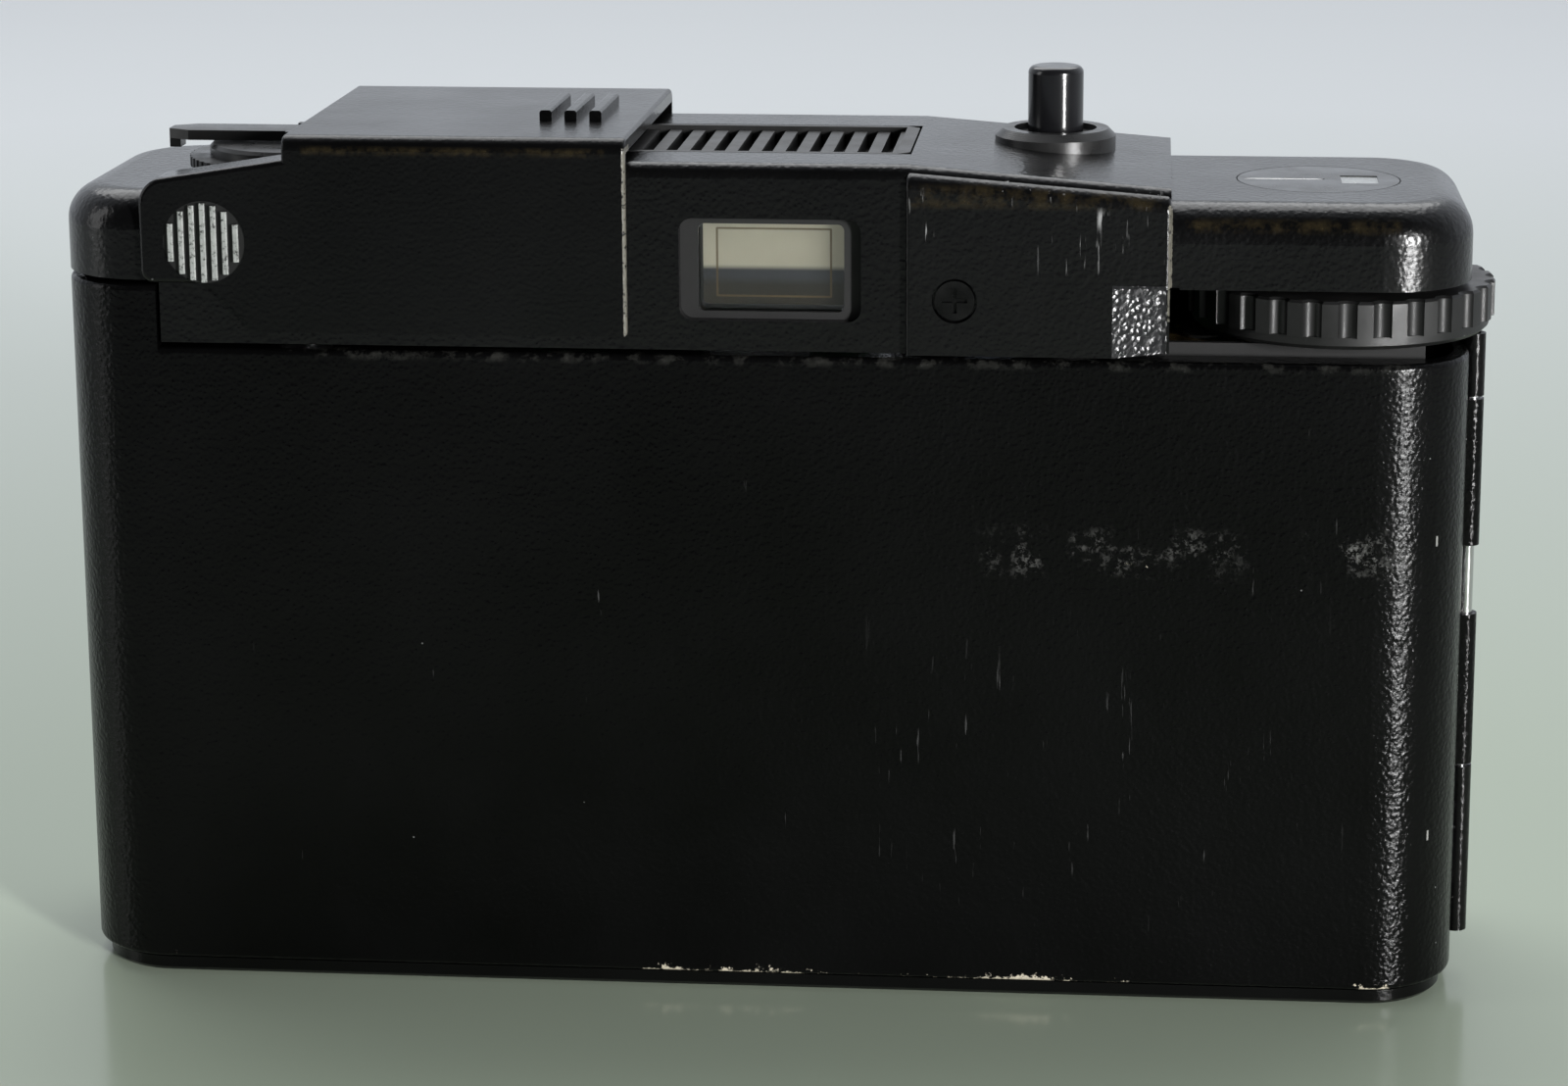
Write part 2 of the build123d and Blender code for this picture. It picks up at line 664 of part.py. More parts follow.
with BuildPart() as thumbwheel:
    add(post(wheel_x, wheel_y, wheel_r - 0.5, wheel_z0, 67.0))
    with BuildSketch(Plane.XY.offset(67.0)):
        with Locations((wheel_x, wheel_y)):
            Circle(wheel_r)
            with PolarLocations(wheel_r + 0.25, wheel_teeth):
                Circle(0.95, mode=Mode.SUBTRACT)
    extrude(amount=wheel_z1 - 67.0)
    chamfer(thumbwheel.faces().sort_by(Axis.Z)[-1].edges(), 0.25)
    chamfer(thumbwheel.faces().sort_by(Axis.Z)[0].edges(), 0.4)
    add(post(wheel_x, wheel_y, 9.5, 69.3, wheel_z1 + 1), mode=Mode.SUBTRACT)
    add(post(wheel_x, wheel_y, 3.6, 69.0, 71.2))
    add(post(wheel_x, wheel_y, shaft_r, wheel_z0 - 1, 69.6), mode=Mode.SUBTRACT)
    add(gear(wheel_x, wheel_y, pinion_teeth, counter_module, far_line, 0, 71.2, 73.4))
save(thumbwheel, "thumbwheel")

with BuildPart() as wheel_gear:
    add(gear(wheel_x, wheel_y, drive_teeth, gear_module, wheel_line, shaft_r, gear_z0, gear_z1))
save(wheel_gear, "wheel_gear")

with BuildPart() as idler_gear:
    add(gear(idler_x, idler_y, idler_teeth, gear_module, idler_phase, 1.0 + running, gear_z0, gear_z1))
save(idler_gear, "idler_gear")

with BuildPart() as sprocket_gear:
    add(gear(sprocket_x, sprocket_y, drive_teeth, gear_module, sprocket_phase, 2.0, gear_z0, gear_z1))
save(sprocket_gear, "sprocket_gear")

with BuildPart() as sprocket_shaft:
    add(post(sprocket_x, sprocket_y, 4.2, 17.0, 53.0))
    for z in (lens_z - 14.2, lens_z + 14.2):
        add(post(sprocket_x, sprocket_y, sprocket_r, z - 2.0, z + 2.0))
        with BuildSketch(Plane.XY.offset(z - 0.7)):
            for k in range(8):
                angle = 360 * (k + 0.5) / 8
                spot = (sprocket_x + 5.9 * cos(radians(angle)), sprocket_y + 5.9 * sin(radians(angle)))
                with Locations(Location(spot, angle)):
                    Rectangle(1.6, 1.1)
        extrude(amount=1.4)
    add(post(sprocket_x, sprocket_y, 2.0, 53.0, gear_z1 + 0.3))
    add(post(sprocket_x, sprocket_y, 1.2, chassis_z0 + 0.2, 17.0))
save(sprocket_shaft, "sprocket_shaft")

with BuildPart() as take_up_spool:
    add(post(wheel_x, wheel_y, spool_r, 12.0, 57.5))
    with BuildSketch(Plane.XY.offset(16.0)):
        for k in range(6):
            spot = (wheel_x + spool_r * cos(radians(60 * k)), wheel_y + spool_r * sin(radians(60 * k)))
            with Locations(Location(spot, 60 * k)):
                Rectangle(3.0, 1.6)
    extrude(amount=37.5, mode=Mode.SUBTRACT)
    add(post(wheel_x, wheel_y, 7.6, 10.5, 12.0))
    add(post(wheel_x, wheel_y, 7.6, 57.5, 58.7))
    add(post(wheel_x, wheel_y, shaft_r, 58.7, 69.6))
    add(post(wheel_x, wheel_y, 1.5, chassis_z0 + 0.2, 10.5))
save(take_up_spool, "take_up_spool")

# The counter's ring gear runs round the small pinion on the wheel's hub.
with BuildPart() as counter_gear:
    ring_phase = far_line + 180 / ring_teeth
    add(gear(counter_x, counter_y, ring_teeth, counter_module, ring_phase, 0, 71.9, 73.9, outward=False))
    ring_r = counter_module * ring_teeth / 2
    add(post(counter_x, counter_y, ring_r + 1.2, 73.9, 74.7))
save(counter_gear, "counter_gear")

with BuildPart() as counter_disc:
    add(post(counter_x, counter_y, 7.2, 76.4, 76.9))
    add(post(counter_x, counter_y, 1.6, 74.7, 76.4))
    add(post(counter_x, counter_y, 1.0, 76.9, 78.4))
    for k in range(30):
        angle = radians(12 * k)
        spot = (counter_x + 6.5 * cos(angle), counter_y + 6.5 * sin(angle))
        add(block(spot[0] - 0.15, spot[0] + 0.15, spot[1] - 0.15, spot[1] + 0.15, 76.9, 76.95))
save(counter_disc, "counter_disc")

with BuildPart() as counter_cap:
    add(post(counter_x, counter_y, cap_r, 78.0, deck_z))
    add(post(counter_x, counter_y, cap_r + 0.8, 77.4, 78.0))
    add(post(counter_x, counter_y, 1.0 + running, 77.0, 78.6), mode=Mode.SUBTRACT)
    number_hole = block(counter_x + 2.2, counter_x + 5.8, counter_y - 2.3, counter_y + 2.3, 77, 80)
    add(number_hole, mode=Mode.SUBTRACT)
    # Index groove from the left edge to the middle.
    groove = block(counter_x - 7.2, counter_x + 0.6, counter_y - 0.2, counter_y + 0.2, deck_z - 0.15, 80)
    add(groove, mode=Mode.SUBTRACT)
save(counter_cap, "counter_cap")

with BuildPart() as counter_window:
    add(block(counter_x + 2.2, counter_x + 5.8, counter_y - 2.3, counter_y + 2.3, 78.2, deck_z - 0.1))
save(counter_window, "counter_window")

# ---------------------------------------------------------------- rewind side

with BuildPart() as rewind_shaft:
    add(post(rewind_x, rewind_y, shaft_r, 56.0, 79.9))
    add(post(rewind_x, rewind_y, 3.6, 58.0, 60.6))
    with BuildSketch(Plane.XY.offset(52.0)):
        with Locations((rewind_x, rewind_y)):
            Rectangle(4.6, 1.6)
    extrude(amount=4.0)
save(rewind_shaft, "rewind_shaft")

with BuildPart() as rewind_disc:
    with BuildSketch(Plane.XY.offset(79.9)):
        with Locations((rewind_x, rewind_y)):
            Circle(disc_r)
            with PolarLocations(disc_r + 0.15, 60):
                Circle(0.32, mode=Mode.SUBTRACT)
    extrude(amount=1.0)
save(rewind_disc, "rewind_disc")

with BuildPart() as rewind_knob:
    add(post(rewind_x, rewind_y, knob_r, 80.9, 82.1))
    chamfer(rewind_knob.faces().sort_by(Axis.Z)[-1].edges(), 0.35)
    # Ears that carry the crank's pin.
    for side in (-1, 1):
        y = rewind_y + side * 2.95
        add(block(crank_pivot_x - 1.1, crank_pivot_x + 1.1, y - 0.45, y + 0.45, 82.1, crank_z + 0.6))
    add(rod(crank_pivot_x, crank_z, 0.35, rewind_y - 4, rewind_y + 4), mode=Mode.SUBTRACT)
save(rewind_knob, "rewind_knob")

with BuildPart() as crank_pin:
    add(rod(crank_pivot_x, crank_z, 0.35, rewind_y - 3.4, rewind_y + 3.4))
save(crank_pin, "crank_pin")

with BuildPart() as rewind_crank:
    with BuildSketch(Plane.XY.offset(crank_z - 0.5)):
        with BuildLine():
            Polyline(
                (crank_pivot_x, rewind_y - 2.2),
                (crank_tip_x + 2.2, rewind_y - 2.2),
                (crank_tip_x, rewind_y - 1.0),
                (crank_tip_x, rewind_y + 1.0),
                (crank_tip_x + 2.2, rewind_y + 2.2),
                (crank_pivot_x, rewind_y + 2.2),
                close=True,
            )
        make_face()
    extrude(amount=1.0)
    add(rod(crank_pivot_x, crank_z, 0.5, rewind_y - 2.2, rewind_y + 2.2))
    # Finger tab below the tip.
    add(block(crank_tip_x, crank_tip_x + 1.1, rewind_y - 1.0, rewind_y + 1.0, 81.4, crank_z))
    add(rod(crank_pivot_x, crank_z, 0.35 + running, rewind_y - 4, rewind_y + 4), mode=Mode.SUBTRACT)
save(rewind_crank, "rewind_crank")

# ---------------------------------------------------------------- shutter release

with BuildPart() as button_collar:
    add(post(button_x, button_y, collar_r, 80.2, collar_z))
    chamfer(button_collar.faces().sort_by(Axis.Z)[-1].edges(), 0.7)
    add(post(button_x, button_y, 4.1, collar_z - 0.6, collar_z + 1), mode=Mode.SUBTRACT)
    add(post(button_x, button_y, button_r + running, 79, collar_z + 1), mode=Mode.SUBTRACT)
save(button_collar, "button_collar")

with BuildPart() as shutter_button:
    add(post(button_x, button_y, button_r, 79.9, button_z))
    fillet(shutter_button.faces().sort_by(Axis.Z)[-1].edges(), 0.7)
    add(post(button_x, button_y, 4.0, 78.9, 79.9))
    add(post(button_x, button_y, 1.2, 70.4, 78.9))
save(shutter_button, "shutter_button")

with BuildPart() as button_spring:
    coil_r = 2.6
    wire_r = 0.3
    coil = Helix(
        pitch=(78.9 - spring_seat_z - 2 * wire_r) / 5,
        height=78.9 - spring_seat_z - 2 * wire_r,
        radius=coil_r,
        center=(button_x, button_y, spring_seat_z + wire_r),
    )
    with BuildSketch(Plane(origin=coil @ 0, z_dir=coil % 0)):
        Circle(wire_r)
    sweep(path=coil)
save(button_spring, "button_spring")

with BuildPart() as release_switch:
    add(block(button_x - 4, button_x + 4, button_y - 4, button_y + 4, 64.4, spring_seat_z))
    add(post(button_x, button_y, 1.6, 68.4, spring_seat_z + 1), mode=Mode.SUBTRACT)
save(release_switch, "release_switch")

with BuildPart() as circuit_board:
    add(block(-32.0, 33.0, -10.0, 11.0, 63.2, 64.4))
    for x, y, size, height in ((-22, 2, 9, 1.4), (-6, 5, 6, 1.2), (8, -5, 7, 1.4), (16, 6, 4, 2.0)):
        add(block(x - size / 2, x + size / 2, y - size / 2, y + size / 2, 64.4, 64.4 + height))
save(circuit_board, "circuit_board")

# ---------------------------------------------------------------- finder

with BuildPart() as finder_housing:
    flange_w = recess_w + 1.6
    flange_h = recess_h + 1.6
    add(window_block(finder_x, finder_z, flange_w, flange_h, 1.6, back_y + cover_t, back_y + 3.0))
    add(window_block(finder_x, finder_z, 16.4, 10.7, 1.0, back_y + 3.0, 12.6))
    add(window_block(finder_x, finder_z, eyepiece_w, eyepiece_h, 0.6, back_y, 13.0), mode=Mode.SUBTRACT)
save(finder_housing, "finder_housing")

with BuildPart() as eyepiece_lens:
    add(window_block(finder_x, finder_z, eyepiece_w, eyepiece_h, 0.6, back_y + 1.9, back_y + 3.4))
save(eyepiece_lens, "eyepiece_lens")

with BuildPart() as finder_objective:
    add(window_block(finder_x, finder_z, eyepiece_w, eyepiece_h, 0.6, 8.5, 10.0))
save(finder_objective, "finder_objective")

with BuildPart() as finder_window:
    add(window_block(finder_x, finder_z, window_w, window_h, 1.2, front_y - cover_t, front_y - 0.3))
save(finder_window, "finder_window")

with BuildPart() as sensor_window:
    add(window_block(24.0, finder_z, 9.0, 9.0, 1.0, front_y - cover_t, front_y - 0.3))
save(sensor_window, "sensor_window")

with BuildPart() as light_sensor:
    add(block(21.0, 27.0, 12.0, 14.4, finder_z - 3, finder_z + 3))
    add(block(22.4, 25.6, 14.4, 14.8, finder_z - 1.6, finder_z + 1.6))
save(light_sensor, "light_sensor")

with BuildPart() as top_grille:
    y0 = grille_y - grille_d / 2
    y1 = grille_y + grille_d / 2
    add(block(grille_x0, grille_x1, y0, y1, hump_z - 2.6, hump_z))
    chamfer(top_grille.edges().filter_by(Axis.Z).group_by(Axis.X)[-1], 1.2)
    # The slats lie a little below the frame.
    rim = 0.8
    field = block(grille_x0 + rim, grille_x1 - 1.3, y0 + rim, y1 - rim, hump_z - 0.45, hump_z + 1)
    add(field, mode=Mode.SUBTRACT)
    slot_w = slat_pitch - slat_w
    slot_count = int((grille_x1 - grille_x0 - 3.0) / slat_pitch)
    for k in range(slot_count):
        x = grille_x1 - 1.9 - k * slat_pitch
        add(block(x - slot_w, x, y0 + rim, y1 - rim, hump_z - 2.1, hump_z + 1), mode=Mode.SUBTRACT)
save(top_grille, "top_grille")

# ---------------------------------------------------------------- sliding cover

outer_y = front_y + slider_clear + slider_t
inner_y = front_y + slider_clear

with BuildPart() as sliding_cover:
    # Saddle over the hump: two walls and a roof.
    add(block(slider_x0, slider_x1, -outer_y, outer_y, slider_low_z, slider_top_z))
    roof_edges = sliding_cover.edges().filter_by(Axis.X).group_by(Axis.Z)[-1]
    fillet(roof_edges, 1.4)
    fillet(sliding_cover.faces().sort_by(Axis.X)[-1].edges(), 0.35)
    fillet(sliding_cover.faces().sort_by(Axis.X)[0].edges(), 0.35)
    roof_z = slider_top_z - slider_roof_t
    tunnel = block(slider_x0 - 1, slider_x1 + 1, -inner_y, inner_y, slider_low_z - 1, roof_z)
    add(tunnel, mode=Mode.SUBTRACT)
    add(wing())
    add(rod(grip_x, grip_z, grip_r, -outer_y - 1, -inner_y + 1), mode=Mode.SUBTRACT)
    # Finger ridges on the roof, and the lip that runs in the front groove.
    for k in range(3):
        x = -21.4 + 2.45 * k
        add(block(x - 0.6, x + 0.6, -6.1, 6.1, slider_top_z, slider_top_z + 1.0))
    ridge_edges = sliding_cover.edges().filter_by(Axis.Y).group_by(Axis.Z)[-1]
    fillet(ridge_edges, 0.3)
    add(block(slider_x0 + 0.4, slider_x1 - 0.4, inner_y - 0.65, inner_y, slider_low_z + 0.1, 67.1))
save(sliding_cover, "sliding_cover")

with BuildPart() as cover_grip:
    add(rod(grip_x, grip_z, grip_r, -outer_y + 0.1, -inner_y))
    for k in range(7):
        off = rib_pitch * (k - 3)
        half = sqrt(grip_r**2 - (abs(off) + 0.3) ** 2) - 0.15
        x = grip_x + off
        add(block(x - 0.28, x + 0.28, -outer_y - 0.5, -outer_y + 0.1, grip_z - half, grip_z + half))
    rib_faces = cover_grip.edges().filter_by(Axis.Z).group_by(Axis.Y)[0]
    fillet(rib_faces, 0.12)
save(cover_grip, "cover_grip")

# ---------------------------------------------------------------- door

with BuildPart() as door_shell:
    add(rounded_plan(door_z1 - 8, ear_z, door_edge_r))
    add(block(ear_x, side_x + 1, back_y - 1, front_y + 1, door_z1 - 9, ear_z + 1), mode=Mode.SUBTRACT)
    add(rounded_plan(door_z0, door_z1, door_edge_r))
    add(plan(door_t, 0, ear_z + 1), mode=Mode.SUBTRACT)
    # Light-trap rims along the bottom and top edges.
    add(door_rim(door_z0, door_z0 + rim_t))
    add(door_rim(door_z1 - rim_t, door_z1))
    add(block(-side_x - 1, side_x + 1, split_y - seam, front_y + 1, 0, 80), mode=Mode.SUBTRACT)
    for z0, z1 in door_knuckles:
        add(post(hinge_x, hinge_y, knuckle_r, z0, z1))
        add(block(side_x - 0.9, hinge_x, split_y - knuckle_r, split_y, z0, z1))
    for z0, z1 in body_knuckles:
        relief = post(hinge_x, hinge_y, knuckle_r + seam, z0 - seam, z1 + seam)
        add(relief, mode=Mode.SUBTRACT)
    add(post(hinge_x, hinge_y, pin_r + running, 0, 70), mode=Mode.SUBTRACT)
    # Tongue that enters the body beside the latch.
    add(block(-side_x + 1.3, -side_x + 2.6, -9.0, split_y - seam, 47.4, 50.8))
    add(block(-side_x + 1.9, -side_x + 2.6, split_y - seam, -1.5, 47.4, 50.8))
save(door_shell, "door_shell")

with BuildPart() as hinge_pin:
    add(post(hinge_x, hinge_y, pin_r, 4.4, 65.1))
save(hinge_pin, "hinge_pin")

with BuildPart() as pressure_plate:
    add(block(-37.0, 37.0, -13.9, -13.1, 18.0, 52.0))
    fillet(pressure_plate.edges().filter_by(Axis.Y), 2.0)
save(pressure_plate, "pressure_plate")

with BuildPart() as pressure_spring:
    # Bowed leaf between the door and the plate.
    with BuildSketch(Plane.XY.offset(31.0)):
        with BuildLine():
            ThreePointArc((-28.0, -14.15), (0, -15.45), (28.0, -14.15))
            Line((28.0, -14.15), (28.0, -13.9))
            ThreePointArc((28.0, -13.9), (0, -15.2), (-28.0, -13.9))
            Line((-28.0, -13.9), (-28.0, -14.15))
        make_face()
    extrude(amount=8.0)
save(pressure_spring, "pressure_spring")

with BuildPart() as cassette_spring:
    add(block(-58.0, -42.0, -15.5, -15.2, 30.0, 40.0))
    add(block(-51.0, -49.0, -15.2, -13.4, 30.0, 40.0))
save(cassette_spring, "cassette_spring")

with BuildPart() as latch_slide:
    add(block(-side_x + 1.8, -side_x + 2.6, -3.0, 8.0, 26.0, 43.8))
    add(block(-side_x + 0.2, -side_x + 1.8, 1.0, 5.0, 31.0, 37.0))
    for k in range(4):
        z = 32.0 + 1.3 * k
        add(block(-side_x, -side_x + 0.2, 1.2, 4.8, z, z + 0.6))
save(latch_slide, "latch_slide")

# ---------------------------------------------------------------- underside

with BuildPart() as tripod_bush:
    add(post(0, tripod_y, 6.0, 0.1, base_t))
    add(post(0, tripod_y, 4.6, base_t, 9.0))
    add(post(0, tripod_y, tripod_r, -1, 7.5), mode=Mode.SUBTRACT)
save(tripod_bush, "tripod_bush")

with BuildPart() as battery_cover:
    add(post(battery_x, battery_y, battery_cover_r, 0.2, base_t + 0.6))
    add(block(battery_x - 5, battery_x + 5, battery_y - 0.7, battery_y + 0.7, 0, 1.0), mode=Mode.SUBTRACT)
save(battery_cover, "battery_cover")

with BuildPart() as battery_cells:
    for k in range(cell_count):
        z = 4.2 + k * (cell_h + 0.05)
        add(post(battery_x, battery_y, cell_r - 0.5, z, z + 0.6))
        add(post(battery_x, battery_y, cell_r, z + 0.6, z + cell_h))
save(battery_cells, "battery_cells")

with BuildPart() as rewind_release:
    add(post(sprocket_x, sprocket_y, release_r, 0.2, 1.6))
    add(post(sprocket_x, sprocket_y, 0.9, 1.6, 1.8))
save(rewind_release, "rewind_release")

with BuildPart() as rear_screw:
    add(rod(19.3, 70.2, 1.9, back_y - 0.8, back_y - 0.1))
    add(rod(19.3, 70.2, 1.05, back_y - 0.1, back_y + 5.0))
    add(block(19.3 - 1.2, 19.3 + 1.2, back_y - 1, back_y - 0.45, 70.0, 70.4), mode=Mode.SUBTRACT)
    add(block(19.1, 19.5, back_y - 1, back_y - 0.45, 70.2 - 1.2, 70.2 + 1.2), mode=Mode.SUBTRACT)
save(rear_screw, "rear_screw")

with BuildPart() as base_screw_set:
    for x, y in base_screws:
        add(post(x, y, 2.0, 0.2, 1.0))
        add(post(x, y, 1.05, 1.0, 6.0))
        add(block(x - 1.3, x + 1.3, y - 0.25, y + 0.25, 0, 0.6), mode=Mode.SUBTRACT)
        add(block(x - 0.25, x + 0.25, y - 1.3, y + 1.3, 0, 0.6), mode=Mode.SUBTRACT)
save(base_screw_set, "base_screw_set")
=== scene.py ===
"""Looks, lights and camera for the stereo camera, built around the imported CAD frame."""
import math

import bmesh
import bpy
from mathutils import Matrix, Vector


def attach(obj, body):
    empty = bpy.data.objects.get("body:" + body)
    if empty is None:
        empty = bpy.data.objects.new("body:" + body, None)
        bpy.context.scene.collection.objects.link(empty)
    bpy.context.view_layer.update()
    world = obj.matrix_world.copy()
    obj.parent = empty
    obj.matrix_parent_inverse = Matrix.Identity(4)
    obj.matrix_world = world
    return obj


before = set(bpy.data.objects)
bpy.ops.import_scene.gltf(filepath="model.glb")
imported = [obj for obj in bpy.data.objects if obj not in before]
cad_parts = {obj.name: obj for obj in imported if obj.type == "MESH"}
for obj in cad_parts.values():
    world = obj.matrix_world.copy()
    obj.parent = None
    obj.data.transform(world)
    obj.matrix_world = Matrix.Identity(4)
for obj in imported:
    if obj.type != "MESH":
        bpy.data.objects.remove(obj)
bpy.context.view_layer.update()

MM = 0.001


# ---------------------------------------------------------------- node helpers

class Finish:
    """A node material with short calls for the maths and textures that the finishes share."""

    def __init__(self, name):
        self.mat = bpy.data.materials.new(name)
        self.mat.use_nodes = True
        self.tree = self.mat.node_tree
        self.bsdf = self.tree.nodes["Principled BSDF"]
        self.place = self.tree.nodes.new("ShaderNodeTexCoord").outputs["Object"]
        self.height = None
        self.color = None
        self.rough = None

    def link(self, source, socket):
        if isinstance(source, bpy.types.NodeSocket):
            self.tree.links.new(source, socket)
        else:
            socket.default_value = source

    def socket(self, name, value):
        self.link(value, self.bsdf.inputs[name])

    def math(self, operation, a, b=0.0, clamp=False):
        node = self.tree.nodes.new("ShaderNodeMath")
        node.operation = operation
        node.use_clamp = clamp
        self.link(a, node.inputs[0])
        self.link(b, node.inputs[1])
        return node.outputs[0]

    def axis(self, index, vector=None):
        node = self.tree.nodes.new("ShaderNodeSeparateXYZ")
        self.link(vector or self.place, node.inputs[0])
        return node.outputs[index]

    def stretch(self, scale, turn=(0, 0, 0)):
        node = self.tree.nodes.new("ShaderNodeMapping")
        self.link(self.place, node.inputs["Vector"])
        node.inputs["Scale"].default_value = scale
        node.inputs["Rotation"].default_value = [math.radians(a) for a in turn]
        return node.outputs[0]

    def noise(self, scale, detail=2.0, rough=0.5, vector=None):
        node = self.tree.nodes.new("ShaderNodeTexNoise")
        self.link(vector or self.place, node.inputs["Vector"])
        node.inputs["Scale"].default_value = scale
        node.inputs["Detail"].default_value = detail
        node.inputs["Roughness"].default_value = rough
        return node.outputs["Fac"]

    def cells(self, scale, feature="F1", vector=None):
        node = self.tree.nodes.new("ShaderNodeTexVoronoi")
        node.feature = feature
        self.link(vector or self.place, node.inputs["Vector"])
        node.inputs["Scale"].default_value = scale
        return node

    def ramp(self, value, low, high, to_low=0.0, to_high=1.0):
        node = self.tree.nodes.new("ShaderNodeMapRange")
        self.link(value, node.inputs["Value"])
        node.inputs["From Min"].default_value = low
        node.inputs["From Max"].default_value = high
        node.inputs["To Min"].default_value = to_low
        node.inputs["To Max"].default_value = to_high
        return node.outputs[0]

    def band(self, index, low_mm, high_mm, soft_mm):
        """One inside a stretch of an axis, falling to nothing over the soft width."""
        along = self.axis(index)
        rise = self.ramp(along, (low_mm - soft_mm) * MM, (low_mm + soft_mm) * MM)
        fall = self.ramp(along, (high_mm - soft_mm) * MM, (high_mm + soft_mm) * MM, 1.0, 0.0)
        return self.math("MULTIPLY", rise, fall)

    def zone(self, x, y, z, soft=1.0):
        """Soft box mask in the object's own millimetres; None leaves an axis free."""
        mask = None
        for index, span in enumerate((x, y, z)):
            if span:
                part = self.band(index, span[0], span[1], soft)
                mask = part if mask is None else self.math("MULTIPLY", mask, part)
        return mask

    def mix(self, factor, a, b):
        node = self.tree.nodes.new("ShaderNodeMix")
        node.data_type = "RGBA"
        self.link(factor, node.inputs["Factor"])
        for value, socket in ((a, node.inputs["A"]), (b, node.inputs["B"])):
            if isinstance(value, tuple):
                value = (*value, 1.0)
            self.link(value, socket)
        return node.outputs["Result"]

    def raise_by(self, value, amount):
        """Add a height in millimetres to the surface relief."""
        scaled = self.math("MULTIPLY", value, amount)
        self.height = scaled if self.height is None else self.math("ADD", self.height, scaled)

    def done(self, strength=1.0):
        if self.height is not None:
            bump = self.tree.nodes.new("ShaderNodeBump")
            bump.inputs["Strength"].default_value = strength
            bump.inputs["Distance"].default_value = MM
            self.link(self.height, bump.inputs["Height"])
            self.link(bump.outputs[0], self.bsdf.inputs["Normal"])
        return self.mat


DUST = (0.26, 0.27, 0.26)
DUST_OPACITY = 0.34


def dust(f, color, amount=0.5):
    """Scattered pale specks, most of them very small."""
    specks = f.cells(190.0)
    size = f.ramp(specks.outputs["Distance"], 0.020, 0.012)
    picked = f.math("GREATER_THAN", f.axis(0, specks.outputs["Color"]), 1.0 - amount)
    fine = f.cells(520.0)
    fine_size = f.ramp(fine.outputs["Distance"], 0.055, 0.03)
    fine_picked = f.math("GREATER_THAN", f.axis(1, fine.outputs["Color"]), 1.0 - amount * 0.3)
    large = f.math("MULTIPLY", size, picked)
    small = f.math("MULTIPLY", fine_size, fine_picked)
    mask = f.math("MAXIMUM", large, small)
    return f.mix(f.math("MULTIPLY", mask, DUST_OPACITY), color, DUST)


# ---------------------------------------------------------------- finishes

BLACK_LOW = (0.0006, 0.0006, 0.0006)
BLACK_HIGH = (0.0018, 0.0018, 0.0019)
BARE = (0.42, 0.38, 0.30)
BRASSED = (0.020, 0.015, 0.007)
SCRATCHED = (0.5, 0.5, 0.5)
MARK_WHITE = (0.72, 0.72, 0.7)


def paint_grain(f, grain, depth):
    """The pebble grain of textured camera paint."""
    pebble = f.cells(grain, "SMOOTH_F1")
    f.raise_by(f.ramp(pebble.outputs["Distance"], 0.0, 0.7, 1.0, 0.0), depth)
    f.raise_by(f.noise(grain * 0.45, 3.0, 0.6), depth * 1.5)
    f.raise_by(f.noise(55.0, 2.0), 0.02)


def satin_paint(name, grain=2000.0, depth=0.026, gloss=0.2):
    """Textured black paint with handling marks; returned open for more wear."""
    f = Finish(name)
    paint_grain(f, grain, depth)
    cloud = f.noise(28.0, 4.0, 0.6)
    f.color = f.mix(f.ramp(cloud, 0.35, 0.7), BLACK_LOW, BLACK_HIGH)
    f.color = dust(f, f.color)
    smears = f.noise(1.0, 4.0, 0.6, f.stretch((60, 60, 18), (0, 24, 0)))
    f.rough = f.ramp(smears, 0.3, 0.75, 0.18, 0.27)
    f.socket("Specular IOR Level", gloss)
    return f


def finish_paint(f):
    f.socket("Base Color", f.color)
    f.socket("Roughness", f.rough)
    return f.done()


def chips(f, mask, cut=0.6, scale=900.0, color=BARE):
    """Bare flecks where the paint has gone, inside a mask."""
    ragged = f.math("ADD", f.noise(scale, 6.0, 0.75), f.math("MULTIPLY", mask, 0.35))
    bare = f.math("MULTIPLY", f.ramp(ragged, cut + 0.27, cut + 0.30), f.ramp(mask, 0.05, 0.3))
    f.color = f.mix(bare, f.color, color)
    f.raise_by(bare, -0.03)


def brassing(f, mask, strength=0.6):
    """Warm rubbed tone along an edge, broken up by the grain."""
    broken = f.ramp(f.noise(600.0, 5.0, 0.7), 0.42, 0.62)
    f.color = f.mix(f.math("MULTIPLY", f.math("MULTIPLY", mask, broken), strength), f.color, BRASSED)


def scratches(f, mask, turn, scale=150.0, cut=0.72, strength=0.22):
    """Hair-fine marks that run one way, inside a mask."""
    lines = f.noise(1.0, 3.0, 0.55, f.stretch((scale * 14, scale * 14, scale), turn))
    spread = f.noise(170.0, 3.0)
    hair = f.math("MULTIPLY", f.ramp(lines, cut, cut + 0.03), f.ramp(spread, 0.5, 0.6))
    shown = f.math("MULTIPLY", f.math("MULTIPLY", hair, mask), strength)
    f.color = f.mix(shown, f.color, SCRATCHED)


